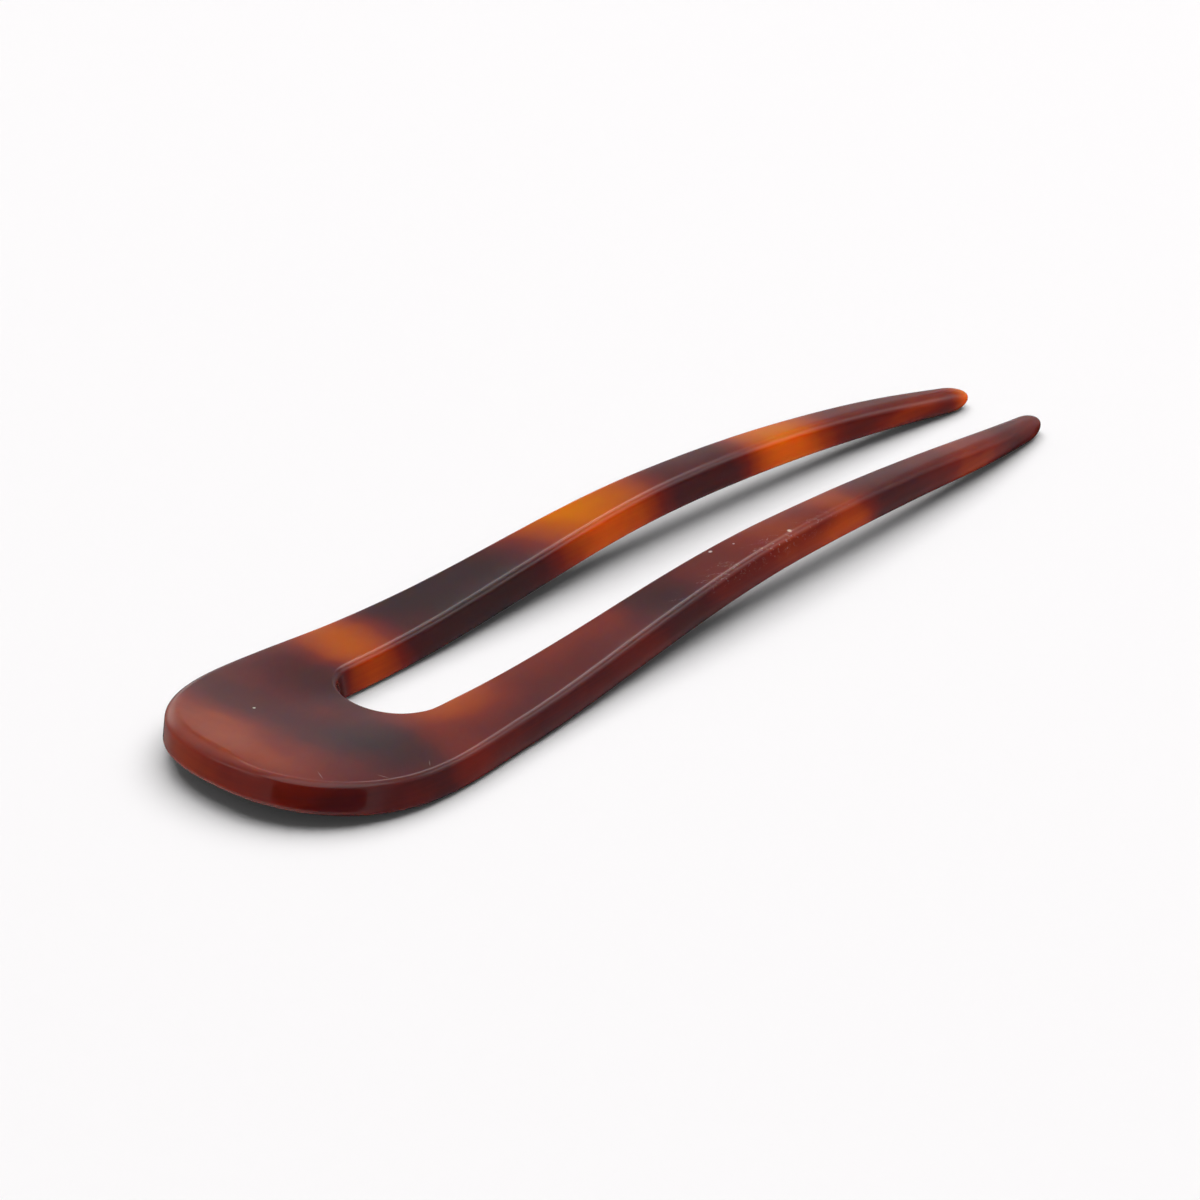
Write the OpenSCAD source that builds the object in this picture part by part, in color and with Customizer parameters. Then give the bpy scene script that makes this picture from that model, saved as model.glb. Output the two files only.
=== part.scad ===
// Hair pin cut from one sheet of acetate: a rounded head, a long open slot
// and two tapering prongs, bent into a shallow wave and polished all round.
// Y runs from the head's end to the prong tips, X across the pin, Z upwards.
// The origin is at the middle of the pin, on the surface that it lies on.

/* [Overall] */
// Length from the head's end to the prong tips
pin_l = 115; // [95:1:140]
// Greatest width, across the head
head_w = 29.6; // [26:0.1:36]
// Thickness of the sheet along the head and most of the prongs
sheet_t = 3.85; // [3:0.05:5]

/* [Head] */
// Length of the head's rounded end, from its end to its widest place
head_round_l = 16.2; // [12:0.1:20]
// Fullness of the rounded end, where 2 is an ellipse and more is squarer
head_fullness = 2.3; // [2:0.1:3]
// Solid length between the head's end and the slot
bridge_l = 18.9; // [16:0.1:24]

/* [Slot] */
// Width of the slot behind its rounded end
slot_w = 11.3; // [8:0.1:13]
// Length of the slot's rounded end
slot_round_l = 4.2; // [3:0.1:7]
// Clear width between the two prong tips
tip_gap = 7.2; // [5:0.1:10]

/* [Prong tips] */
// Width of one prong where it would end if it were not rounded off
tip_w = 2.5; // [1.6:0.1:3.5]
// Thickness of a prong at its tip
tip_t = 2.55; // [1.8:0.05:3.5]
// Length of the rounding that closes a prong
tip_round_l = 3.2; // [2:0.1:6]

/* [Wave] */
// Height of the head's end above the surface that the pin lies on
head_lift = 2; // [0:0.1:4]
// Distance from the head's end to the flat stretch that the head rests on
rest_y = 20; // [17:0.5:22]
// Length of the flat stretch
rest_l = 6; // [4:0.5:8]
// Height of the arch under the prongs
arch_h = 2.9; // [1:0.1:6]
// Distance from the head's end to the top of the arch
arch_y = 69; // [60:1:80]

/* [Edges] */
// Rounding of the edges, measured across the sheet's face
edge_w = 1.2; // [0.6:0.1:1.6]
// Rounding of the edges, measured down into the sheet
edge_d = 0.7; // [0.4:0.1:1.2]
// Softer rounding at the head's end, across the face
head_edge_w = 2.3; // [1.2:0.1:3]
// Softer rounding at the head's end, down into the sheet
head_edge_d = 1.45; // [0.8:0.05:1.5]
// Length over which the head's softer edge fades out
head_edge_l = 22; // [15:1:30]

/* [Hidden] */

// Sections along each half: round the head, along a prong, round a tip
head_n = 18;
prong_n = 30;
tip_n = 6;
// Points round a section: along each rounded edge, and on each flat face
edge_n = 4;
face_n = 5;
// Where the outer outline passes from the head's rounded end to its side,
// as a share of the sections round the head
cap_share = 0.7;
// Where the tips touch the surface, as a share of their rounding
touch_share = 0.8;
// Half of the step over which the wave's slope is measured
slope_step = 0.05;

slot_back_y = bridge_l + slot_round_l;
touch_y = pin_l - touch_share * tip_round_l;
tip_span = tip_gap + 2 * tip_w;

// Outer width from the head's widest place to the tips: [place, share], where
// the place is a share of that length, and the width goes from head_w at 1 to
// tip_span at 0
outer_rows = [[0, 1], [0.12, 0.88], [0.25, 0.74], [0.5, 0.55], [0.75, 0.365], [0.9, 0.21], [1, 0]];
// Clear width from the slot's rounded end to the tips: [place, share], where
// the width goes from slot_w at 0 to tip_gap at 1, and is widest midway
inner_rows = [[0, 0], [0.3, -0.042], [0.6, -0.114], [0.85, 0.33], [1, 1]];
// Thinning towards the tips: [place, share], from sheet_t at 0 to tip_t at 1
thin_rows = [[0, 0], [0.45, 0], [0.6, 0.03], [0.85, 0.43], [1, 1]];
// Change of the section towards a full oval at the tips: [place, share]
oval_rows = [[0, 0], [0.45, 0], [0.55, 0.03], [0.8, 0.38], [1, 1]];

// Slope of the curve through the rows at row i, level at the first row
function row_slope(rows, i) =
    i == 0 ? 0 :
    let (gap_a = rows[i][0] - rows[i - 1][0],
         rate_a = (rows[i][1] - rows[i - 1][1]) / gap_a)
    i == len(rows) - 1 ? rate_a :
    let (gap_b = rows[i + 1][0] - rows[i][0],
         rate_b = (rows[i + 1][1] - rows[i][1]) / gap_b)
    (rate_a * gap_b + rate_b * gap_a) / (gap_a + gap_b);

// Row that starts the stretch which holds place s
function row_at(rows, s, i = 0) =
    i >= len(rows) - 2 || s < rows[i + 1][0] ? i : row_at(rows, s, i + 1);

// Share at place s, on a smooth cubic curve through the rows
function smooth_share(rows, s) =
    let (p = min(max(s, 0), 1),
         i = row_at(rows, p),
         gap = rows[i + 1][0] - rows[i][0],
         t = (p - rows[i][0]) / gap)
    (2 * t ^ 3 - 3 * t ^ 2 + 1) * rows[i][1]
    + (t ^ 3 - 2 * t ^ 2 + t) * gap * row_slope(rows, i)
    + (3 * t ^ 2 - 2 * t ^ 3) * rows[i + 1][1]
    + (t ^ 3 - t ^ 2) * gap * row_slope(rows, i + 1);

// Distance from the middle line to the outer and the inner side, at distance y
// from the head's end
function outer_x(y) =
    tip_span / 2 + (head_w - tip_span) / 2
    * smooth_share(outer_rows, (y - head_round_l) / (pin_l - head_round_l));
function inner_x(y) =
    slot_w / 2 + (tip_gap - slot_w) / 2
    * smooth_share(inner_rows, (y - slot_back_y) / (pin_l - slot_back_y));
function thickness(y) = sheet_t + (tip_t - sheet_t) * smooth_share(thin_rows, y / pin_l);

// Height of the underside: the lifted end, the flat stretch, the rise to the
// arch and the fall to the tips
function head_height(y) = head_lift * max(0, 1 - y / rest_y) ^ 2;
function rise_share(y) = min(max((y - rest_y - rest_l) / (arch_y - rest_y - rest_l), 0), 1);
function arch_height(y) =
    y < arch_y ? arch_h * (1 - cos(180 * rise_share(y))) / 2
    : arch_h * cos(90 * (y - arch_y) / (touch_y - arch_y));
function under_z(y) = head_height(y) + arch_height(y);
function middle_z(y) = under_z(y) + thickness(y) / 2;
function wave_slope(y) =
    (middle_z(y + slope_step) - middle_z(y - slope_step)) / (2 * slope_step);

// A station is [inner x, inner y, outer x, outer y, how full the section is].
// Round the head, the inner point follows the slot's rounded end and the outer
// point follows the head's end, then its side
function head_station(a) =
    let (turn = 90 * min(a / cap_share, 1),
         side_y = head_round_l
             + (slot_back_y - head_round_l) * max(0, (a - cap_share) / (1 - cap_share)),
         cap_x = head_w / 2 * sin(turn) ^ (2 / head_fullness),
         cap_y = head_round_l * (1 - max(0, cos(turn)) ^ (2 / head_fullness)))
    [slot_w / 2 * sin(90 * a), slot_back_y - slot_round_l * cos(90 * a),
     a < cap_share ? cap_x : outer_x(side_y), a < cap_share ? cap_y : side_y, 1];
function prong_station(y) = [inner_x(y), y, outer_x(y), y, 1];
function tip_station(turn) =
    let (y = pin_l - tip_round_l * (1 - sin(turn)),
         centre = (outer_x(y) + inner_x(y)) / 2,
         half = (outer_x(y) - inner_x(y)) / 2 * cos(turn))
    [centre - half, y, centre + half, y, cos(turn)];

stations = concat(
    [for (i = [0 : head_n]) head_station(i / head_n)],
    [for (i = [1 : prong_n])
        prong_station(slot_back_y + (pin_l - tip_round_l - slot_back_y) * i / prong_n)],
    [for (i = [1 : tip_n - 1]) tip_station(90 * i / tip_n)]);
last = len(stations) - 1;
loop_n = 4 * (edge_n + 1) + 2 * face_n;

// One rounded edge of a section, as [across, up] points from its middle.
// corner 0 is outer top, 1 inner top, 2 inner bottom and 3 outer bottom
function edge_points(w, t, ew, ed, corner) =
    let (side = corner == 0 || corner == 3 ? 1 : -1,
         level = corner < 2 ? 1 : -1)
    [for (i = [0 : edge_n]) let (turn = 90 * (corner + i / edge_n))
        [side * (w / 2 - ew) + ew * cos(turn), level * (t / 2 - ed) + ed * sin(turn)]];

// Points along a flat face, from the outer side inwards for level 1 and
// from the inner side outwards for level -1
function face_points(w, t, ew, level) =
    [for (i = [1 : face_n])
        [level * (w / 2 - ew) * (1 - 2 * i / (face_n + 1)), level * t / 2]];

// Section between the inner and outer point of a station, set square to the wave
function section_points(s) =
    let (middle_y = (s[1] + s[3]) / 2,
         run_x = s[2] - s[0],
         run_y = s[3] - s[1],
         w = norm([run_x, run_y]),
         t = thickness(middle_y) * s[4],
         oval = smooth_share(oval_rows, middle_y / pin_l),
         near = max(0, 1 - middle_y / head_edge_l),
         soft = near ^ 2 * (3 - 2 * near),
         ew = min((edge_w + (head_edge_w - edge_w) * soft) * (1 - oval) + oval * w / 2, 0.999 * w / 2),
         ed = min((edge_d + (head_edge_d - edge_d) * soft) * (1 - oval) + oval * t / 2, 0.999 * t / 2),
         ring = concat(edge_points(w, t, ew, ed, 0), face_points(w, t, ew, 1),
                       edge_points(w, t, ew, ed, 1), edge_points(w, t, ew, ed, 2),
                       face_points(w, t, ew, -1), edge_points(w, t, ew, ed, 3)))
    [for (p = ring)
        let (x = (s[0] + s[2]) / 2 + run_x / w * p[0],
             y = middle_y + run_y / w * p[0],
             slope = wave_slope(y),
             square = sqrt(1 + slope ^ 2))
        [x, y - p[1] * slope / square, middle_z(y) + p[1] / square]];

function mirrored(points) = [for (p = points) [-p[0], p[1], p[2]]];
function tip_point(side) =
    [side * (outer_x(pin_l) + inner_x(pin_l)) / 2, pin_l, middle_z(pin_l)];

// Sections from the tip on -X, round the head, to the tip on +X
rings = concat(
    [for (i = [last : -1 : 1]) mirrored(section_points(stations[i]))],
    [for (i = [0 : last]) section_points(stations[i])]);
ring_n = len(rings);
pin_points = concat([for (ring = rings) each ring], [tip_point(-1), tip_point(1)]);
left_tip = ring_n * loop_n;
right_tip = left_tip + 1;
end_ring = (ring_n - 1) * loop_n;

pin_faces = concat(
    [for (i = [0 : ring_n - 2], j = [0 : loop_n - 1])
        let (k = (j + 1) % loop_n, a = i * loop_n, b = a + loop_n)
        each [[a + j, a + k, b + j], [a + k, b + k, b + j]]],
    [for (j = [0 : loop_n - 1]) [left_tip, (j + 1) % loop_n, j]],
    [for (j = [0 : loop_n - 1]) [right_tip, end_ring + j, end_ring + (j + 1) % loop_n]]);

module hair_pin() {
    color("saddlebrown")
        translate([0, -pin_l / 2, 0])
            polyhedron(points = pin_points, faces = pin_faces, convexity = 6);
}

hair_pin();
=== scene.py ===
import math

import bpy
import numpy as np
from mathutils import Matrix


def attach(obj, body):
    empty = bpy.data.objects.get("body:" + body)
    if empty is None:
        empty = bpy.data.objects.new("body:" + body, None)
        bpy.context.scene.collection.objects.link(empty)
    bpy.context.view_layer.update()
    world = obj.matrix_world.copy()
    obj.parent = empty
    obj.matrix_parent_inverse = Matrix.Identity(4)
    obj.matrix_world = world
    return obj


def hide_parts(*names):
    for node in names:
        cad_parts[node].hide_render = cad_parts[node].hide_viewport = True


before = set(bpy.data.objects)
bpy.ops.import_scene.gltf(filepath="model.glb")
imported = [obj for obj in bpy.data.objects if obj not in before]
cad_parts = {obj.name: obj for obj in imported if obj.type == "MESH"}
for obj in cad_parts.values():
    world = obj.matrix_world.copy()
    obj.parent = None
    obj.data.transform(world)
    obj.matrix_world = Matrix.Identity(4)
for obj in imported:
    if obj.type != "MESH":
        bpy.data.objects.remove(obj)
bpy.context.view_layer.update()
print("frame loaded:", sorted(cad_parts))

# Shape of the pin in millimetres, as in the part's source.
# Distances are measured from the head's end, and the tips are at "length"
pin = {
    "length": 115.0,
    "headWidth": 29.6,
    "sheet": 3.85,
    "headRound": 16.2,
    "headFullness": 2.3,
    "bridge": 18.9,
    "slotWidth": 11.3,
    "slotRound": 4.2,
    "tipGap": 7.2,
    "tipWidth": 2.5,
    "tipThick": 2.55,
    "tipRound": 3.2,
    "headLift": 2.0,
    "restPlace": 20.0,
    "restLength": 6.0,
    "archHeight": 2.9,
    "archPlace": 69.0,
    "edgeAcross": 1.2,
    "edgeDown": 0.7,
    "headEdgeAcross": 2.3,
    "headEdgeDown": 1.45,
    "headEdgeLength": 22.0,
    "edgeLimit": 0.999,     # the most of half the width or thickness that an edge takes
    # Rows of place and share, which smoothShare joins to a curve
    "outerRows": [(0, 1), (0.12, 0.88), (0.25, 0.74), (0.5, 0.55), (0.75, 0.365), (0.9, 0.21),
                  (1, 0)],
    "innerRows": [(0, 0), (0.3, -0.042), (0.6, -0.114), (0.85, 0.33), (1, 1)],
    "thinRows": [(0, 0), (0.45, 0), (0.6, 0.03), (0.85, 0.43), (1, 1)],
    "ovalRows": [(0, 0), (0.45, 0), (0.55, 0.03), (0.8, 0.38), (1, 1)],
    "capShare": 0.7,        # where the head's cap becomes its side
    "touchShare": 0.8,      # where the tips touch, as a share of their rounding
    "headSections": 70,     # sections along each half
    "prongSections": 170,
    "tipSections": 18,
    "facePoints": 12,
    # From the middle of a side wall up to the face: tilt in degrees, bending radius, points.
    # The wall is slightly crowned and the edge is buffed, tighter where it meets the face
    "edgeRows": [(9, 8.5, 5), (60, 0.95, 10), (86, 0.6, 8)],
    "draft": 9.0,           # how far the head's wall leans back, in degrees,
    "draftReach": 1.2,      # and how far up and down from its middle
    "slopeStep": 0.05,      # half of the step over which the wave's slope is measured
    # Round the head's end, the buffed edge comes in on the near side between these places across
    # it, and on the far side between these distances. What there is of it in the middle fades
    # out over endFade towards the far side
    "nearStart": (-1.0, 5.0),
    "farStart": (8.0, 22.0),
    "endFade": 3.0,
}


def smoothShare(rows, place):
    # Cubic curve through the rows: on each stretch h00*v0 + h10*gap*s0 + h01*v1 + h11*gap*s1,
    # where a row's slope weighs the rates on its two sides, and the first row is level
    places, values = np.array(rows, float).T
    gaps = np.diff(places)
    rates = np.diff(values) / gaps
    slopes = np.zeros(len(places))
    slopes[1:-1] = (rates[:-1] * gaps[1:] + rates[1:] * gaps[:-1]) / (gaps[:-1] + gaps[1:])
    slopes[-1] = rates[-1]
    place = np.clip(place, 0, 1)
    row = np.clip(np.searchsorted(places, place, side="right") - 1, 0, len(gaps) - 1)
    t = (place - places[row]) / gaps[row]
    return ((2 * t ** 3 - 3 * t ** 2 + 1) * values[row]
            + (t ** 3 - 2 * t ** 2 + t) * gaps[row] * slopes[row]
            + (3 * t ** 2 - 2 * t ** 3) * values[row + 1]
            + (t ** 3 - t ** 2) * gaps[row] * slopes[row + 1])


def easedStep(value, start, end):
    # 0 before the start, 1 past the end, and 3t^2 - 2t^3 between
    t = np.clip((value - start) / (end - start), 0, 1)
    return t ** 2 * (3 - 2 * t)


def outerSide(y):
    # Half of the outer width: from headWidth / 2 at the widest place to the tips, by outerRows
    tipSide = pin["tipGap"] / 2 + pin["tipWidth"]
    place = (y - pin["headRound"]) / (pin["length"] - pin["headRound"])
    share = smoothShare(pin["outerRows"], place)
    return tipSide + (pin["headWidth"] / 2 - tipSide) * share


def innerSide(y):
    # Half of the clear width: from slotWidth / 2 behind the slot's round end to tipGap / 2,
    # by innerRows
    slotBack = pin["bridge"] + pin["slotRound"]
    share = smoothShare(pin["innerRows"], (y - slotBack) / (pin["length"] - slotBack))
    return pin["slotWidth"] / 2 + (pin["tipGap"] - pin["slotWidth"]) / 2 * share


def thickness(y):
    # sheet at the head, tipThick at the tips, by thinRows
    share = smoothShare(pin["thinRows"], y / pin["length"])
    return pin["sheet"] + (pin["tipThick"] - pin["sheet"]) * share


def middleHeight(y):
    # Half the thickness above the underside, which is a lifted parabola at the head, level where
    # the head rests, half a cosine wave up to the arch and a quarter wave down to the tips
    restEnd = pin["restPlace"] + pin["restLength"]
    touch = pin["length"] - pin["touchShare"] * pin["tipRound"]
    lift = pin["headLift"] * np.maximum(0, 1 - y / pin["restPlace"]) ** 2
    share = np.clip((y - restEnd) / (pin["archPlace"] - restEnd), 0, 1)
    rise = pin["archHeight"] * (1 - np.cos(math.pi * share)) / 2
    turn = math.pi / 2 * (y - pin["archPlace"]) / (touch - pin["archPlace"])
    fall = pin["archHeight"] * np.cos(turn)
    return lift + np.where(y < pin["archPlace"], rise, fall) + thickness(y) / 2


def halfStations():
    # One row for each section of a half: inner x, inner y, outer x, outer y, fullness.
    # Head: the inner point runs on a quarter ellipse, the outer one on a superellipse and then
    # along the side. Prong: both points at the same y. Tip: width and thickness times the
    # cosine of the turn
    slotBack = pin["bridge"] + pin["slotRound"]
    a = np.linspace(0, 1, pin["headSections"])
    turn = math.pi / 2 * np.minimum(a / pin["capShare"], 1)
    power = 2 / pin["headFullness"]
    beyond = np.maximum(0, a - pin["capShare"]) / (1 - pin["capShare"])
    sideY = pin["headRound"] + (slotBack - pin["headRound"]) * beyond
    onCap = a < pin["capShare"]
    capX = pin["headWidth"] / 2 * np.sin(turn) ** power
    capY = pin["headRound"] * (1 - np.maximum(0, np.cos(turn)) ** power)
    head = np.stack([
        pin["slotWidth"] / 2 * np.sin(math.pi / 2 * a),
        slotBack - pin["slotRound"] * np.cos(math.pi / 2 * a),
        np.where(onCap, capX, outerSide(sideY)),
        np.where(onCap, capY, sideY),
        np.ones_like(a),
    ], 1)
    y = np.linspace(slotBack, pin["length"] - pin["tipRound"], pin["prongSections"])[1:]
    prong = np.stack([innerSide(y), y, outerSide(y), y, np.ones_like(y)], 1)
    turn = np.linspace(0, math.pi / 2, pin["tipSections"])[1:-1]
    y = pin["length"] - pin["tipRound"] * (1 - np.sin(turn))
    centre = (outerSide(y) + innerSide(y)) / 2
    half = (outerSide(y) - innerSide(y)) / 2 * np.cos(turn)
    tip = np.stack([centre - half, y, centre + half, y, np.cos(turn)], 1)
    return np.concatenate([head, prong, tip])


def buffedEdge():
    # Profile of an edge from the middle of the wall up to the face, as (inwards, up, tilt).
    # Along an arc of radius r from tilt a to tilt b it goes in by r (cos a - cos b)
    # and up by r (sin b - sin a)
    tilts, radii, start = [np.zeros(1)], [], 0
    for tilt, radius, points in pin["edgeRows"]:
        tilts.append(np.linspace(start, tilt, points + 1)[1:])
        radii.append(np.full(points, radius))
        start = tilt
    tilt = np.radians(np.concatenate(tilts))
    radius = np.concatenate(radii)
    inwards = np.cumsum(radius * -np.diff(np.cos(tilt)))
    up = np.cumsum(radius * np.diff(np.sin(tilt)))
    return inwards, up, tilt[1:]


def sectionRings(stations, crest, rim):
    # A buffed rectangle between each station's two points, width by thickness, with crowned
    # faces. Crest 1 gives the buffed edge on the outer side, and 0 the part's plain elliptical
    # edge, edgeAcross by edgeDown, which is larger round the head's end and grows to a full oval
    # at the tips. Rim does the same for the inner side.
    # It stands square to the wave: y moves by -height * slope / square, z by height / square
    innerX, innerY, outerX, outerY, fullness = stations.T
    y = (innerY + outerY) / 2
    runX, runY = outerX - innerX, outerY - innerY
    width = np.hypot(runX, runY)
    thick = thickness(y) * fullness
    oval = smoothShare(pin["ovalRows"], y / pin["length"])
    soft = easedStep(y, pin["headEdgeLength"], 0)
    across = pin["edgeAcross"] + (pin["headEdgeAcross"] - pin["edgeAcross"]) * soft
    down = pin["edgeDown"] + (pin["headEdgeDown"] - pin["edgeDown"]) * soft
    limit = pin["edgeLimit"]
    across = np.minimum(across * (1 - oval) + oval * width / 2, limit * width / 2)[:, None]
    down = np.minimum(down * (1 - oval) + oval * thick / 2, limit * thick / 2)[:, None]
    crest, rim = (crest * (1 - oval))[:, None], (rim * (1 - oval))[:, None]
    halfWidth, halfThick = width[:, None] / 2, thick[:, None] / 2
    inwards, up, tilt = buffedEdge()
    root = np.sqrt((across * np.cos(tilt)) ** 2 + (down * np.sin(tilt)) ** 2)
    plainIn = across - across ** 2 * np.cos(tilt) / root
    plainUp = halfThick - down + down ** 2 * np.sin(tilt) / root
    face = np.linspace(1, -1, pin["facePoints"] + 2)[1:-1]
    crown = (halfWidth - inwards[-1]) / math.tan(tilt[-1]) / 2
    scale = (halfThick - crown) / up[-1]
    sides, levels = [], []
    for level in (1, -1):
        fade = 1 if level > 0 else 1 - soft[:, None]
        edges = []
        for share in (crest * fade, rim * fade):
            edges.append((halfWidth - share * inwards * scale - (1 - share) * plainIn,
                          share * up * scale + (1 - share) * plainUp))
        (outerIn, outerUp), (innerIn, innerUp) = edges[::level]
        t = (1 - face) / 2
        faceSide = outerIn[:, -1:] * (1 - t) - innerIn[:, -1:] * t
        faceLevel = outerUp[:, -1:] * (1 - t) + innerUp[:, -1:] * t
        faceLevel = faceLevel + (halfThick - faceLevel) * (1 - face ** 2)
        sides += [level * outerIn, level * faceSide, -level * innerIn[:, ::-1]]
        levels += [level * outerUp, level * faceLevel, level * innerUp[:, ::-1]]
    side, level = np.concatenate(sides, 1), np.concatenate(levels, 1)
    lean = math.tan(math.radians(pin["draft"])) * soft[:, None] * crest * (side > 0)
    side = side - lean * np.clip(level, -pin["draftReach"], pin["draftReach"])
    ringX = ((innerX + outerX) / 2)[:, None] + (runX / width)[:, None] * side
    ringY = y[:, None] + (runY / width)[:, None] * side
    step = pin["slopeStep"]
    slope = (middleHeight(ringY + step) - middleHeight(ringY - step)) / (2 * step)
    square = np.sqrt(1 + slope ** 2)
    height = middleHeight(ringY) + level / square
    return np.stack([ringX, ringY - level * slope / square, height], 2)


def pinMesh():
    # Rings from the tip on -X round the head to the tip on +X, joined by quads and closed
    # by a point at each tip
    stations = halfStations()
    outerX, outerY = stations[:, 2], stations[:, 3]
    near = easedStep(outerX, *pin["nearStart"])
    start, end = pin["farStart"]
    far = np.maximum(np.clip((outerY - start) / (end - start), 0, 1),
                     near[0] * np.clip(1 - outerX / pin["endFade"], 0, 1))
    mirrored = sectionRings(stations, far, np.ones_like(far))[:0:-1] * [-1, 1, 1]
    rings = np.concatenate([mirrored, sectionRings(stations, near, np.ones_like(near))])
    ringCount, loopCount = rings.shape[:2]
    tipX = (outerSide(pin["length"]) + innerSide(pin["length"])) / 2
    tipZ = middleHeight(np.array(pin["length"]))
    tips = np.array([[-tipX, pin["length"], tipZ], [tipX, pin["length"], tipZ]])
    points = np.concatenate([rings.reshape(-1, 3), tips])
    points = (points - [0, pin["length"] / 2, 0]) / 1000
    ring, place = np.meshgrid(np.arange(ringCount - 1) * loopCount, np.arange(loopCount),
                              indexing="ij")
    following, across = (place + 1) % loopCount, ring + loopCount
    quads = np.stack([ring + place, ring + following, across + following, across + place], 2)
    place = np.arange(loopCount)
    following = (place + 1) % loopCount
    last = (ringCount - 1) * loopCount
    fanA = np.stack([np.full(loopCount, len(points) - 2), following, place], 1)
    fanB = np.stack([np.full(loopCount, len(points) - 1), last + place, last + following], 1)
    mesh = bpy.data.meshes.new("hairPinBody")
    faces = quads.reshape(-1, 4).tolist() + fanA.tolist() + fanB.tolist()
    mesh.from_pydata(points.tolist(), [], faces)
    mesh.polygons.foreach_set("use_smooth", np.ones(len(mesh.polygons), bool))
    mesh.update()
    return mesh


pinObject = bpy.data.objects.new("hairPin", pinMesh())
bpy.context.scene.collection.objects.link(pinObject)
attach(pinObject, "root")
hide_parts("hair_pin")
pinObject.visible_diffuse = False       # no red glow on the floor round the pin
print("pin:", len(pinObject.data.polygons), "faces")


# Node helpers

def addNode(tree, kind, x, y, **settings):
    node = tree.nodes.new(kind)
    node.location = (x, y)
    for name, value in settings.items():
        setattr(node, name, value)
    return node


def fillGroup(tree, sockets, output):
    # Gives a node group its inputs and its one output, and returns its two end nodes
    for name, kind, value in sockets:
        socket = tree.interface.new_socket(name=name, in_out="INPUT", socket_type=kind)
        socket.default_value = value
    tree.interface.new_socket(name=output, in_out="OUTPUT", socket_type="NodeSocketFloat")
    return addNode(tree, "NodeGroupInput", -1000, 0), addNode(tree, "NodeGroupOutput", 900, 0)


def softPatchGroup():
    # Mask of one soft cloud of pigment: 1 in the middle, 0 outside an ellipsoid with soft borders.
    # Slant shifts the cloud along the pin by so much for each mm across and each mm down
    tree = bpy.data.node_groups.new("softPatch", "ShaderNodeTree")
    source, out = fillGroup(tree, [
        ("Vector", "NodeSocketVector", (0, 0, 0)),
        ("Centre", "NodeSocketVector", (0, 0, 0)),
        ("Size", "NodeSocketVector", (5, 5, 5)),
        ("Slant", "NodeSocketVector", (0, 0, 0)),
        ("Blur", "NodeSocketFloat", 0.5),
    ], "Mask")
    offset = addNode(tree, "ShaderNodeVectorMath", -800, 0, operation="SUBTRACT")
    along = addNode(tree, "ShaderNodeVectorMath", -620, -200, operation="DOT_PRODUCT")
    shift = addNode(tree, "ShaderNodeCombineXYZ", -440, -200)
    moved = addNode(tree, "ShaderNodeVectorMath", -260, 0, operation="ADD")
    scaled = addNode(tree, "ShaderNodeVectorMath", -80, 0, operation="DIVIDE")
    reach = addNode(tree, "ShaderNodeVectorMath", 100, 0, operation="LENGTH")
    start = addNode(tree, "ShaderNodeMath", 100, -200, operation="SUBTRACT")
    end = addNode(tree, "ShaderNodeMath", 100, -380, operation="ADD")
    mask = addNode(tree, "ShaderNodeMapRange", 320, 0, interpolation_type="SMOOTHSTEP", clamp=True)
    link = tree.links.new
    link(source.outputs["Vector"], offset.inputs[0])
    link(source.outputs["Centre"], offset.inputs[1])
    link(offset.outputs[0], along.inputs[0])
    link(source.outputs["Slant"], along.inputs[1])
    link(along.outputs["Value"], shift.inputs["Y"])
    link(offset.outputs[0], moved.inputs[0])
    link(shift.outputs[0], moved.inputs[1])
    link(moved.outputs[0], scaled.inputs[0])
    link(source.outputs["Size"], scaled.inputs[1])
    link(scaled.outputs[0], reach.inputs[0])
    start.inputs[0].default_value = 1
    link(source.outputs["Blur"], start.inputs[1])
    end.inputs[0].default_value = 1
    link(source.outputs["Blur"], end.inputs[1])
    link(reach.outputs["Value"], mask.inputs["Value"])
    link(start.outputs[0], mask.inputs["From Min"])
    link(end.outputs[0], mask.inputs["From Max"])
    mask.inputs["To Min"].default_value = 1
    mask.inputs["To Max"].default_value = 0
    link(mask.outputs["Result"], out.inputs["Mask"])
    return tree


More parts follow.
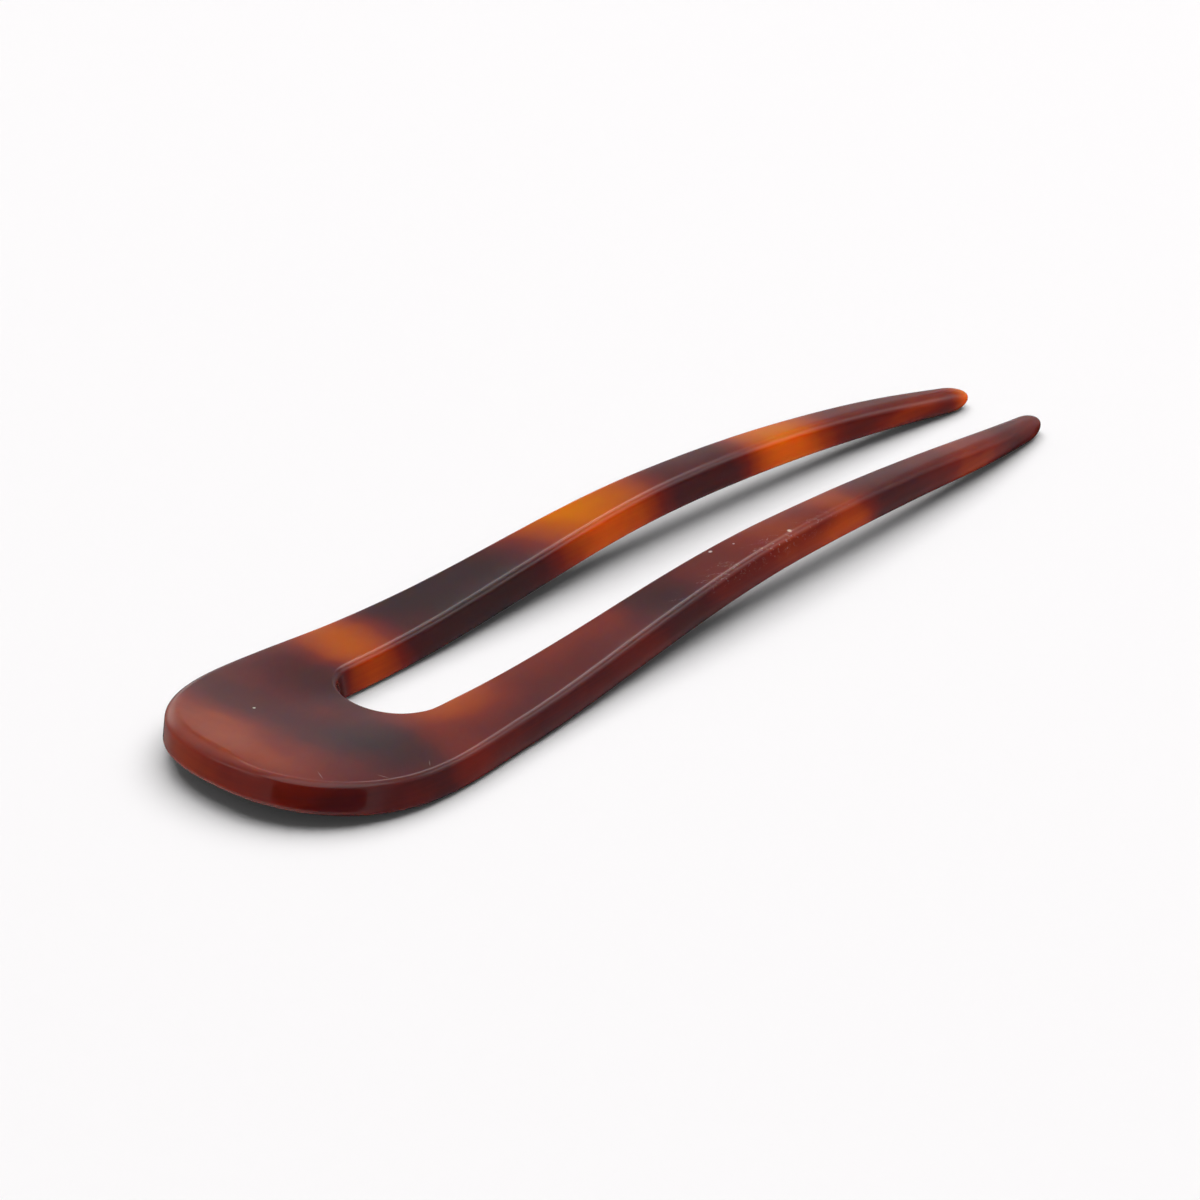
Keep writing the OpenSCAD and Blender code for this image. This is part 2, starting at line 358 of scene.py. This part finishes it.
def speckGroup():
    # Mask of fine dust: a few of the cells of a loose grid hold one speck near their middle
    tree = bpy.data.node_groups.new("dustSpecks", "ShaderNodeTree")
    source, out = fillGroup(tree, [
        ("Vector", "NodeSocketVector", (0, 0, 0)),
        ("Cells", "NodeSocketFloat", 1.5),
        ("Radius", "NodeSocketFloat", 0.1),
        ("Share", "NodeSocketFloat", 0.3),
    ], "Mask")
    cells = addNode(tree, "ShaderNodeTexVoronoi", -760, 0)
    pick = addNode(tree, "ShaderNodeSeparateXYZ", -540, -160)
    chosen = addNode(tree, "ShaderNodeMath", -340, -160, operation="LESS_THAN")
    spread = addNode(tree, "ShaderNodeMath", -340, -340, operation="MULTIPLY")
    speck = addNode(tree, "ShaderNodeMapRange", -120, 0, interpolation_type="SMOOTHSTEP", clamp=True)
    both = addNode(tree, "ShaderNodeMath", 120, 0, operation="MULTIPLY")
    link = tree.links.new
    link(source.outputs["Vector"], cells.inputs["Vector"])
    link(source.outputs["Cells"], cells.inputs["Scale"])
    link(cells.outputs["Color"], pick.inputs[0])
    link(pick.outputs["X"], chosen.inputs[0])
    link(source.outputs["Share"], chosen.inputs[1])
    link(pick.outputs["Y"], spread.inputs[0])
    link(source.outputs["Radius"], spread.inputs[1])
    link(cells.outputs["Distance"], speck.inputs["Value"])
    link(spread.outputs[0], speck.inputs["From Max"])
    speck.inputs["To Min"].default_value = 1
    speck.inputs["To Max"].default_value = 0
    link(speck.outputs["Result"], both.inputs[0])
    link(chosen.outputs[0], both.inputs[1])
    link(both.outputs[0], out.inputs["Mask"])
    return tree


def hairlineGroup():
    # Mask of fine scratches: where a noise drawn out along one direction crosses a level
    tree = bpy.data.node_groups.new("hairlines", "ShaderNodeTree")
    source, out = fillGroup(tree, [
        ("Vector", "NodeSocketVector", (0, 0, 0)),
        ("Angle", "NodeSocketFloat", 0.0),
        ("Stretch", "NodeSocketVector", (3, 0.3, 1)),
        ("Level", "NodeSocketFloat", 0.6),
        ("Width", "NodeSocketFloat", 0.02),
    ], "Mask")
    turned = addNode(tree, "ShaderNodeVectorRotate", -780, 0, rotation_type="Z_AXIS")
    drawn = addNode(tree, "ShaderNodeVectorMath", -600, 0, operation="MULTIPLY")
    noise = addNode(tree, "ShaderNodeTexNoise", -420, 0)
    above = addNode(tree, "ShaderNodeMath", -220, 0, operation="SUBTRACT")
    away = addNode(tree, "ShaderNodeMath", -40, 0, operation="ABSOLUTE")
    line = addNode(tree, "ShaderNodeMapRange", 160, 0, interpolation_type="SMOOTHSTEP", clamp=True)
    link = tree.links.new
    link(source.outputs["Vector"], turned.inputs["Vector"])
    link(source.outputs["Angle"], turned.inputs["Angle"])
    link(turned.outputs[0], drawn.inputs[0])
    link(source.outputs["Stretch"], drawn.inputs[1])
    link(drawn.outputs[0], noise.inputs["Vector"])
    noise.inputs["Scale"].default_value = 1
    noise.inputs["Detail"].default_value = 2
    link(noise.outputs["Fac"], above.inputs[0])
    link(source.outputs["Level"], above.inputs[1])
    link(above.outputs[0], away.inputs[0])
    link(away.outputs[0], line.inputs["Value"])
    link(source.outputs["Width"], line.inputs["From Max"])
    line.inputs["To Min"].default_value = 1
    line.inputs["To Max"].default_value = 0
    link(line.outputs["Result"], out.inputs["Mask"])
    return tree


# Acetate: one pigment value from 0 for clear amber to 1 for the darkest brown, which a few clouds
# use for painted shade and painted glow.
# Each cloud is its middle (x, distance from the head's end, height), its size, its slant
# (across, down), its blur and its pigment
acetate = {
    "roughness": 0.08,
    "ior": 1.48,
    "translucency": 1.0,      # share of the light that wanders inside the acetate
    "wanderReach": 2.0,       # how far it wanders, in mm, red light furthest
    "wanderColour": (1.0, 0.32, 0.08),
    "basePigment": 0.72,
    "driftScale": 0.13,       # slow wandering of the clouds' borders, per mm
    "driftAmount": 1.0,       # and how far it reaches, in mm
    # Fine changes of the pigment: scale, detail, stretch and amount.
    # The layers are thin, and show as streaks along the side walls
    "fine": {
        "mottle": (0.3, 3, (1, 0.6, 0.6), 0.12),
        "layers": (1.0, 2, (0.05, 0.03, 2.6), 0.1),
    },
    "smudgeScale": 0.22,      # places where the polish is a little duller
    "smudgeRange": (0.3, 0.75),
    "smudgeAmount": 0.1,
    "buffingScale": 0.35,     # faint waves left by buffing
    "bumpStrength": 0.35,
    "bumpDepth": 0.00004,
    "markColour": (0.75, 0.62, 0.58),
    "markRoughness": 0.5,     # what a mark adds to the roughness
    "markHeight": 0.1,        # and to the height of the bump
    "dust": {"Cells": 1.7, "Radius": 0.16, "Share": 0.3},
    "hairlines": {
        "Angle": math.radians(35),
        "Stretch": (2.6, 0.35, 2.6),
        "Level": 0.62,
        "Width": 0.0035,
    },
    # Colours from amber to the darkest brown, as two copies lit by which way the surface points:
    # painted sheen makes the faces milky, and painted light through the acetate makes the cut walls
    # clearer with brighter amber. The walls' colours come in between these shares of the normal that
    # point up
    "wallLightTurn": (0.95, 0.35),
    "faceRamp": [
        (0.0, (0.66, 0.19, 0.006)),
        (0.2, (0.51, 0.12, 0.017)),
        (0.4, (0.37, 0.08, 0.032)),
        (0.6, (0.215, 0.048, 0.038)),
        (0.8, (0.112, 0.037, 0.04)),
        (1.0, (0.058, 0.036, 0.04)),
    ],
    "wallRamp": [
        (0.0, (0.88, 0.165, 0.0)),
        (0.2, (0.7, 0.105, 0.001)),
        (0.4, (0.43, 0.05, 0.002)),
        (0.6, (0.21, 0.015, 0.007)),
        (0.8, (0.085, 0.011, 0.013)),
        (1.0, (0.052, 0.017, 0.019)),
    ],
    "clouds": {
        "headDark": ((-3, 15, 4), (17, 7.2, 20), (0, 0.3), 0.7, 0.78),
        "headBand": ((-3, 4.3, 5), (11, 3.3, 20), (0.12, 0.5), 0.95, 0.47),
        "headFront": ((5, 0.5, 3.2), (16, 4, 1.6), (0, 0), 0.7, 0.63),
        "headFrontFar": ((-7, 1.5, 3.2), (9, 4, 1.8), (0, 0), 0.8, 0.5),
        "headFrontNear": ((13, 6, 2.6), (5, 5, 1.8), (0, 0), 0.8, 0.8),
        "headFarSpot": ((-7, 10.8, 4), (5, 2.2, 20), (0, 0.3), 0.9, 0.82),
        "headFarDarker": ((-4.6, 19.4, 4), (5, 2.7, 20), (0, 0.3), 1.0, 0.91),
        "headNearDark": ((7.8, 13.7, 4), (5.3, 3.1, 20), (-0.1, 0.4), 1.0, 0.99),
        "headNearRed": ((13, 19.4, 4), (6, 2.2, 20), (0, 0.3), 0.9, 0.64),
        "nearShade": ((12.5, 31, 4.4), (3, 9, 20), (0, 0.5), 0.9, 0.78),
        "slotSpot": ((5.6, 24.6, 4), (4.2, 4.6, 20), (0, 0.3), 1.0, 0.34),
        "farAmber": ((-13.5, 57.2, 6.3), (11, 9.4, 20), (-0.1, 0.5), 1.0, 0.0),
        "farDark": ((-9.6, 40.1, 4.7), (10, 10.6, 20), (-0.45, 0.5), 0.7, 1.0),
        "farOrange": ((-10, 26.4, 4), (8, 3.4, 20), (0, 0.25), 1.0, 0.27),
        # Painted shade: the next cloud darkens the hollow at the slot's closed end
        "slotEndDark": ((-5.0, 20.0, 2.0), (1.8, 2.4, 3), (0, 0), 0.9, 0.9),
        "farDarkTwo": ((-8, 74.4, 6.6), (8, 6.1, 20), (0.35, 0.5), 0.8, 0.84),
        "farAmberTwo": ((-7, 86.7, 5.6), (7.5, 4.9, 20), (-0.1, 0.3), 0.9, 0.07),
        "farTip": ((-4.8, 115, 1.8), (3, 2.5, 2.4), (0, 0), 0.8, 0.05),
        "nearWarmOne": ((6.8, 40, 5), (2, 7.5, 20), (0, 0.5), 0.9, 0.6),
        "nearDark": ((8.4, 50.7, 5.6), (5.6, 3.5, 20), (0, 0.7), 1.0, 0.93),
        "nearWarm": ((8.4, 68.6, 6.6), (6, 5.0, 20), (0, 0.5), 0.9, 0.53),
        "nearWarmTwo": ((8.2, 77.6, 6.3), (6, 2.9, 20), (0, 0.3), 0.8, 0.48),
        # Painted glow: the next cloud makes the lower part of the near wall lighter
        "nearLowGlow": ((10, 76.5, 3.9), (3, 4.2, 1.7), (0, 0), 0.8, 0.34),
        "nearDarkTwo": ((8.5, 85.3, 5.6), (8, 4.1, 20), (0, 0.5), 0.7, 0.8),
        "nearAmber": ((6.0, 98.8, 4.4), (5, 3.0, 20), (0, 0.2), 1.0, 0.56),
        "nearDarkThree": ((5.8, 107.5, 3.4), (5, 5.5, 20), (0, 0.2), 0.7, 0.79),
        "nearTip": ((5, 113.5, 1.6), (3, 5, 2.4), (0, 0), 0.9, 0.67),
        # Painted glow: the next two clouds make parts of the walls near the tips lighter
        "nearTipGlow": ((6.4, 100.5, 2.2), (3, 4.5, 1.6), (0, 0), 0.8, 0.44),
        "farTipGlow": ((-4.4, 105.5, 2.4), (2, 5, 1.1), (0, 0), 0.8, 0.5),
    },
    # Where the surface is scuffed and dusty, and single bright specks and short hairlines on it,
    # which have a strength in place of a pigment
    "scuffed": ((10.6, 64, 6.6), (1.3, 13, 1.5), (0, 0), 0.6),
    "specks": {
        "headSpeck": ((-5.4, 10.5, 4.3), (0.13, 0.13, 1), (0, 0), 0.5, 0.8),
        "archSpeck": ((6.97, 60.4, 6.5), (0.16, 0.18, 1), (0, 0), 0.5, 0.9),
        "edgeSpeck": ((9.92, 68.8, 6.6), (0.2, 0.2, 1), (0, 0), 0.5, 0.9),
        "smallSpeck": ((7.7, 63, 6.6), (0.1, 0.1, 1), (0, 0), 0.5, 0.7),
        "headHairline": ((9, 4.9, 5), (0.5, 0.05, 1), (0.5, 0), 0.8, 0.22),
        "headHairlineTwo": ((12.6, 9.3, 4.4), (0.4, 0.06, 1), (-0.4, 0), 0.8, 0.2),
        "headHairlineThree": ((13.5, 14.4, 4), (0.3, 0.05, 1), (0.9, 0), 0.8, 0.2),
    },
}


def placePatch(tree, group, x, y, label, vector, place):
    # One soft cloud by its middle, size, slant and blur, and returns its mask
    centre, size, slant, blur = place
    node = addNode(tree, "ShaderNodeGroup", x, y, node_tree=group, label=label)
    tree.links.new(vector, node.inputs["Vector"])
    node.inputs["Centre"].default_value = centre
    node.inputs["Size"].default_value = size
    node.inputs["Slant"].default_value = (slant[0], 0, slant[1])
    node.inputs["Blur"].default_value = blur
    return node.outputs["Mask"]


def acetateMaterial(look):
    material = bpy.data.materials.new("tortoiseshellAcetate")
    material.use_nodes = True
    tree = material.node_tree
    link = tree.links.new
    surface = tree.nodes["Principled BSDF"]
    surface.location = (2000, 0)
    surface.inputs["IOR"].default_value = look["ior"]
    surface.subsurface_method = "RANDOM_WALK"
    surface.inputs["Subsurface Weight"].default_value = look["translucency"]
    surface.inputs["Subsurface Radius"].default_value = look["wanderColour"]
    surface.inputs["Subsurface Scale"].default_value = look["wanderReach"] / 1000
    coordinates = addNode(tree, "ShaderNodeTexCoord", -1800, 0)
    mm = addNode(tree, "ShaderNodeMapping", -1600, 0)
    mm.inputs["Scale"].default_value = (1000, 1000, 1000)
    mm.inputs["Location"].default_value = (0, pin["length"] / 2, 0)
    link(coordinates.outputs["Object"], mm.inputs["Vector"])

    # Pigment, with painted shade and painted glow in a few of the clouds: the clouds laid over each
    # other, with borders that wander a little
    drift = addNode(tree, "ShaderNodeTexNoise", -1400, -250)
    drift.inputs["Scale"].default_value = look["driftScale"]
    drift.inputs["Detail"].default_value = 1
    link(mm.outputs[0], drift.inputs["Vector"])
    centred = addNode(tree, "ShaderNodeVectorMath", -1200, -250, operation="SUBTRACT")
    centred.inputs[1].default_value = (0.5, 0.5, 0.5)
    link(drift.outputs["Color"], centred.inputs[0])
    wander = addNode(tree, "ShaderNodeVectorMath", -1020, -150, operation="MULTIPLY_ADD")
    wander.inputs[1].default_value = (look["driftAmount"] * 2,) * 3
    link(centred.outputs[0], wander.inputs[0])
    link(mm.outputs[0], wander.inputs[2])
    patch = softPatchGroup()
    pigment = None
    for number, (name, cloud) in enumerate(look["clouds"].items()):
        nodeY = 600 - 300 * number
        mask = placePatch(tree, patch, -800, nodeY, name, wander.outputs[0], cloud[:4])
        mixed = addNode(tree, "ShaderNodeMix", -500 + 60 * number, nodeY, data_type="FLOAT")
        link(mask, mixed.inputs["Factor"])
        if pigment is None:
            mixed.inputs["A"].default_value = look["basePigment"]
        else:
            link(pigment, mixed.inputs["A"])
        mixed.inputs["B"].default_value = cloud[4]
        pigment = mixed.outputs["Result"]
    for label, (scale, detail, stretch, amount) in look["fine"].items():
        drawn = addNode(tree, "ShaderNodeVectorMath", 600, -500, operation="MULTIPLY", label=label)
        drawn.inputs[1].default_value = stretch
        link(mm.outputs[0], drawn.inputs[0])
        noise = addNode(tree, "ShaderNodeTexNoise", 780, -500, label=label)
        noise.inputs["Scale"].default_value = scale
        noise.inputs["Detail"].default_value = detail
        link(drawn.outputs[0], noise.inputs["Vector"])
        around = addNode(tree, "ShaderNodeMath", 960, -500, operation="MULTIPLY_ADD")
        link(noise.outputs["Fac"], around.inputs[0])
        around.inputs[1].default_value = amount
        around.inputs[2].default_value = -amount / 2
        added = addNode(tree, "ShaderNodeMath", 1140, -300, operation="ADD")
        link(pigment, added.inputs[0])
        link(around.outputs[0], added.inputs[1])
        pigment = added.outputs[0]
    tones = []
    for number, name in enumerate(["faceRamp", "wallRamp"]):
        ramp = addNode(tree, "ShaderNodeValToRGB", 1320, -200 - 260 * number, label=name)
        stops = ramp.color_ramp.elements
        while len(stops) < len(look[name]):
            stops.new(0.5)
        for stop, (position, colour) in zip(stops, look[name]):
            stop.position = position
            stop.color = (*colour, 1)
        link(pigment, ramp.inputs["Fac"])
        tones.append(ramp.outputs["Color"])
    # Painted light: the normal's height picks the face copy or the brighter, clearer wall copy of
    # the colours
    facing = addNode(tree, "ShaderNodeSeparateXYZ", 1150, 300)
    link(coordinates.outputs["Normal"], facing.inputs[0])
    flatness = addNode(tree, "ShaderNodeMath", 1300, 300, operation="ABSOLUTE")
    link(facing.outputs["Z"], flatness.inputs[0])
    cut = addNode(tree, "ShaderNodeMapRange", 1450, 300, interpolation_type="SMOOTHSTEP", clamp=True)
    link(flatness.outputs[0], cut.inputs["Value"])
    cut.inputs["From Min"].default_value, cut.inputs["From Max"].default_value = look["wallLightTurn"]
    paintedFacingTone = addNode(tree, "ShaderNodeMix", 1620, 50, data_type="RGBA")
    link(cut.outputs["Result"], paintedFacingTone.inputs["Factor"])
    link(tones[0], paintedFacingTone.inputs["A"])
    link(tones[1], paintedFacingTone.inputs["B"])

    # Marks: dust and hairlines where the edge is scuffed, and the single specks
    scuffed = placePatch(tree, patch, 0, 900, "scuffed", mm.outputs[0], look["scuffed"])
    dust = addNode(tree, "ShaderNodeGroup", 0, 1150, node_tree=speckGroup())
    lines = addNode(tree, "ShaderNodeGroup", 0, 1400, node_tree=hairlineGroup())
    for node, values in [(dust, look["dust"]), (lines, look["hairlines"])]:
        for name, value in values.items():
            node.inputs[name].default_value = value
        link(mm.outputs[0], node.inputs["Vector"])
    marks = None
    for number, output in enumerate([dust.outputs["Mask"], lines.outputs["Mask"]]):
        local = addNode(tree, "ShaderNodeMath", 300, 1150 + 250 * number, operation="MULTIPLY")
        link(output, local.inputs[0])
        link(scuffed, local.inputs[1])
        if marks is None:
            marks = local.outputs[0]
        else:
            most = addNode(tree, "ShaderNodeMath", 500, 1150, operation="MAXIMUM")
            link(marks, most.inputs[0])
            link(local.outputs[0], most.inputs[1])
            marks = most.outputs[0]
    for number, (name, speck) in enumerate(look["specks"].items()):
        mask = placePatch(tree, patch, 500, 1500 + 250 * number, name, mm.outputs[0], speck[:4])
        weaker = addNode(tree, "ShaderNodeMath", 700, 1500 + 250 * number, operation="MULTIPLY")
        link(mask, weaker.inputs[0])
        weaker.inputs[1].default_value = speck[4]
        most = addNode(tree, "ShaderNodeMath", 900 + 60 * number, 1150, operation="MAXIMUM")
        link(marks, most.inputs[0])
        link(weaker.outputs[0], most.inputs[1])
        marks = most.outputs[0]
    dusty = addNode(tree, "ShaderNodeMix", 1800, 200, data_type="RGBA")
    link(marks, dusty.inputs["Factor"])
    link(paintedFacingTone.outputs["Result"], dusty.inputs["A"])
    dusty.inputs["B"].default_value = (*look["markColour"], 1)
    link(dusty.outputs["Result"], surface.inputs["Base Color"])

    # Polish: a little uneven, dull in the marks, with a faint waviness from buffing
    smudge = addNode(tree, "ShaderNodeTexNoise", 1300, -700)
    smudge.inputs["Scale"].default_value = look["smudgeScale"]
    smudge.inputs["Detail"].default_value = 4
    link(mm.outputs[0], smudge.inputs["Vector"])
    polish = addNode(tree, "ShaderNodeMapRange", 1500, -700, clamp=True)
    link(smudge.outputs["Fac"], polish.inputs["Value"])
    polish.inputs["From Min"].default_value = look["smudgeRange"][0]
    polish.inputs["From Max"].default_value = look["smudgeRange"][1]
    polish.inputs["To Min"].default_value = look["roughness"]
    polish.inputs["To Max"].default_value = look["roughness"] + look["smudgeAmount"]
    dull = addNode(tree, "ShaderNodeMath", 1700, -700, operation="MULTIPLY_ADD")
    link(marks, dull.inputs[0])
    dull.inputs[1].default_value = look["markRoughness"]
    link(polish.outputs["Result"], dull.inputs[2])
    link(dull.outputs[0], surface.inputs["Roughness"])
    wave = addNode(tree, "ShaderNodeTexNoise", 1300, -1000)
    wave.inputs["Scale"].default_value = look["buffingScale"]
    wave.inputs["Detail"].default_value = 1
    link(mm.outputs[0], wave.inputs["Vector"])
    height = addNode(tree, "ShaderNodeMath", 1500, -1000, operation="MULTIPLY_ADD")
    link(marks, height.inputs[0])
    height.inputs[1].default_value = look["markHeight"]
    link(wave.outputs["Fac"], height.inputs[2])
    bump = addNode(tree, "ShaderNodeBump", 1700, -1000)
    bump.inputs["Strength"].default_value = look["bumpStrength"]
    bump.inputs["Distance"].default_value = look["bumpDepth"]
    link(height.outputs[0], bump.inputs["Height"])
    link(bump.outputs["Normal"], surface.inputs["Normal"])
    return material


pinObject.data.materials.append(acetateMaterial(acetate))
print("acetate: done")

# Floor and light. Directions are degrees from +X towards +Y and above the floor
studio = {
    "floorSize": 12.0,
    "floorColour": (0.9, 0.885, 0.89),
    "sheetRoughness": 0.9,
    "ambient": 0.028,       # reaches every place, so the shadows aren't black
    "lightDistance": 3.0,
    # Soft lights, aimed at the pin: azimuth, elevation, width and height for each metre of
    # distance, radiance and shape. The window only shows in the polish, and the other two
    # don't show there
    "keyLight": (96, 78, 1.6, 1.6, 2.4, "DISK"),
    "fillLight": (0, 90, 5.0, 5.0, 0.17, "DISK"),
    "backWindow": (108, 54, 0.95, 0.3, 1.5, "RECTANGLE"),
    # The dark opening round the camera, 1 m away: from and to azimuth, bottom and top, and
    # the angle over which its end is rounded, in radians
    "opening": (-86, -14, -0.75, 0.3, 0.45),
    "openingColour": (0.01, 0.01, 0.01),
    "openingColumns": 60,
    "openingBlunt": 0.02,   # how blunt the rounded end stays
}

# The light tent, as the polish mirrors it: each part is its azimuths, its elevations,
# how far its borders fade and its radiance, laid over the parts before it
tent = {
    "radius": 5.0,
    "steps": (2.5, 1.5),    # grid along the azimuth and the elevation
    "glow": 0.25,
    "parts": {
        "shadedSide": ((2, 62), (-90, -2), (16, 5), 0.12),
        "shadedUnder": ((75, 152), (-90, -12), (16, 8), 0.02),
        "shadedBack": ((75, 150), (23, 50), (8, 9), 0.03),
        "backdrop": ((112, 150), (10, 18), (16, 9), 0.34),
        "horizon": ((128, 150), (-4, 4), (8, 6), 0.7),
        "leftBack": ((150, 172), (0, 20), (24, 14), 0.9),
        "leftWall": ((182, 240), (-42, 30), (15, 10), 0.2),
        "frontUnder": ((225, 330), (-70, -40), (15, 6), 0.6),
        "frontLow": ((270, 355), (-60, 12), (10, 8), 0.35),
        "frontSheet": ((260, 380), (24, 80), (12, 5), 1.1),
        "leftSheet": ((225, 260), (12, 30), (10, 6), 0.75),
        "sideLow": ((20, 75), (0, 18), (8, 4), 0.4),
        "edgeLineBack": ((98, 126), (38, 52), (7, 5), 1.0),
        "edgeLineSide": ((30, 62), (18, 36), (8, 5), 1.2),
    },
}


def flatMaterial(name, colour):
    material = bpy.data.materials.new(name)
    material.use_nodes = True
    surface = material.node_tree.nodes["Principled BSDF"]
    surface.inputs["Base Color"].default_value = (*colour, 1)
    surface.inputs["Roughness"].default_value = studio["sheetRoughness"]
    surface.inputs["Specular IOR Level"].default_value = 0.0
    return material


def stageSheet(name, points, faces, material):
    mesh = bpy.data.meshes.new(name)
    mesh.from_pydata(points, [], faces)
    mesh.materials.append(material)
    sheet = bpy.data.objects.new(name, mesh)
    bpy.context.scene.collection.objects.link(sheet)
    return sheet


def softLight(name, place, forGloss, forDiffuse):
    # Energy is radiance * pi * area, where a disk's area is pi / 4 of its square
    azimuth, elevation, width, height, radiance, shape = place
    turn, rise, away = math.radians(azimuth), math.radians(elevation), studio["lightDistance"]
    lamp = bpy.data.lights.new(name, "AREA")
    lamp.shape = shape
    lamp.size = width * away
    if shape == "RECTANGLE":
        lamp.size_y = height * away
    lamp.cycles.use_multiple_importance_sampling = forGloss     # of use to mirrored lights only
    area = width * height * away ** 2 * (math.pi / 4 if shape == "DISK" else 1)
    lamp.energy = radiance * math.pi * area
    lampObject = bpy.data.objects.new(name, lamp)
    flat = away * math.cos(rise)
    lampObject.location = (flat * math.cos(turn), flat * math.sin(turn), away * math.sin(rise))
    lampObject.rotation_euler = (math.pi / 2 - rise, 0, turn + math.pi / 2)
    lampObject.visible_camera = False
    lampObject.visible_glossy = forGloss
    lampObject.visible_diffuse = forDiffuse
    bpy.context.scene.collection.objects.link(lampObject)


def onlyMirrored(sheet):
    # The polish mirrors the sheet, but nothing else sees it
    sheet.visible_camera = False
    sheet.visible_diffuse = False
    sheet.visible_transmission = False
    sheet.visible_shadow = False


def fadedSpan(angle, span, fade):
    # 1 inside the span and 0 outside it, with an eased step as wide as the fade on each border
    inside = np.minimum(angle - span[0], span[1] - angle)
    return easedStep(inside, -fade / 2, fade / 2)


def tentMesh():
    # Sphere round the pin: radius times (cos elevation cos azimuth, cos elevation sin azimuth,
    # sin elevation). Each point's glow is blended towards a part's radiance by that part's
    # faded spans
    turnStep, riseStep = tent["steps"]
    azimuth, elevation = np.meshgrid(np.arange(0, 361, turnStep), np.arange(-90, 91, riseStep),
                                     indexing="ij")
    glow = np.full(azimuth.shape, tent["glow"])
    for azimuths, elevations, (fadeAcross, fadeUp), radiance in tent["parts"].values():
        across = np.maximum(fadedSpan(azimuth, azimuths, fadeAcross),
                            fadedSpan(azimuth + 360, azimuths, fadeAcross))
        mask = across * fadedSpan(elevation, elevations, fadeUp)
        glow = glow * (1 - mask) + radiance * mask
    turn, rise = np.radians(azimuth), np.radians(elevation)
    points = tent["radius"] * np.stack([np.cos(rise) * np.cos(turn), np.cos(rise) * np.sin(turn),
                                        np.sin(rise)], 2)
    columns, rows = azimuth.shape
    corner = np.arange(columns - 1)[:, None] * rows + np.arange(rows - 1)
    quads = np.stack([corner, corner + 1, corner + rows + 1, corner + rows], 2)
    mesh = bpy.data.meshes.new("lightTent")
    mesh.from_pydata(points.reshape(-1, 3).tolist(), [], quads.reshape(-1, 4).tolist())
    mesh.attributes.new("glow", "FLOAT", "POINT").data.foreach_set("value", glow.ravel())
    return mesh


def glowMaterial():
    material = bpy.data.materials.new("lightTent")
    material.use_nodes = True
    tree = material.node_tree
    surface = tree.nodes["Principled BSDF"]
    surface.inputs["Base Color"].default_value = (0, 0, 0, 1)
    surface.inputs["Specular IOR Level"].default_value = 0.0
    surface.inputs["Emission Strength"].default_value = 1.0
    glow = addNode(tree, "ShaderNodeAttribute", -300, 0, attribute_name="glow")
    tree.links.new(glow.outputs["Fac"], surface.inputs["Emission Color"])
    return material


def openingSheet():
    # Strip along an arc of 1 m round the pin, from bottom to top. The arc's last stretch is
    # rounded: half the height times sqrt(1 - (1 - left)^2 (1 - blunt))
    start, end, bottom, top, corner = studio["opening"]
    columns = studio["openingColumns"]
    turn = np.radians(np.linspace(start, end, columns))
    left = np.clip((turn[-1] - turn) / corner, 0, 1)
    half = (top - bottom) / 2 * np.sqrt(1 - (1 - left) ** 2 * (1 - studio["openingBlunt"]))
    middle = np.full(columns, (top + bottom) / 2)
    points = np.concatenate([
        np.stack([np.cos(turn), np.sin(turn), middle - half], 1),
        np.stack([np.cos(turn), np.sin(turn), middle + half], 1),
    ])
    strip = np.arange(columns - 1)
    quads = np.stack([strip, strip + 1, strip + columns + 1, strip + columns], 1)
    material = flatMaterial("darkOpening", studio["openingColour"])
    return stageSheet("opening", points.tolist(), quads.tolist(), material)


reach = studio["floorSize"] / 2
floorCorners = [(-reach, -reach, 0), (reach, -reach, 0), (reach, reach, 0), (-reach, reach, 0)]
floorSheet = stageSheet("floorSheet", floorCorners, [(0, 1, 2, 3)],
                        flatMaterial("paleFloor", studio["floorColour"]))
floorSheet.visible_glossy = False       # the polish mirrors the tent alone

tentSheet = bpy.data.objects.new("lightTent", tentMesh())
bpy.context.scene.collection.objects.link(tentSheet)
tentSheet.data.materials.append(glowMaterial())
tentSheet.data.materials[0].cycles.emission_sampling = "NONE"     # it is no light of its own
onlyMirrored(tentSheet)

onlyMirrored(openingSheet())

world = bpy.data.worlds.new("studioWorld")
world.use_nodes = True
background = world.node_tree.nodes["Background"]
background.inputs["Color"].default_value = (1, 1, 1, 1)
background.inputs["Strength"].default_value = studio["ambient"]
bpy.context.scene.world = world
softLight("keyLight", studio["keyLight"], False, True)
softLight("fillLight", studio["fillLight"], False, True)
softLight("backWindow", studio["backWindow"], True, False)

# The camera looks at the target from the head's side, with its azimuth from -Y towards +X
view = {
    "target": (-0.002487, -0.002702, 0.0),
    "azimuth": 42.512,
    "elevation": 26.827,
    "distance": 0.50532,
    "lens": 153.95,
    "sensor": 36.0,
    "clip": (0.01, 20.0),
}
camera = bpy.data.cameras.new("photoCamera")
camera.sensor_width = view["sensor"]
camera.sensor_fit = "HORIZONTAL"
camera.lens = view["lens"]
camera.clip_start, camera.clip_end = view["clip"]
cameraObject = bpy.data.objects.new("photoCamera", camera)
azimuth, elevation = math.radians(view["azimuth"]), math.radians(view["elevation"])
flat = view["distance"] * math.cos(elevation)
cameraObject.location = (
    view["target"][0] + flat * math.sin(azimuth),
    view["target"][1] - flat * math.cos(azimuth),
    view["target"][2] + view["distance"] * math.sin(elevation),
)
cameraObject.rotation_euler = (math.pi / 2 - elevation, 0, azimuth)
bpy.context.scene.collection.objects.link(cameraObject)
bpy.context.scene.camera = cameraObject
bpy.context.scene.view_settings.view_transform = "Standard"
print("studio: done")
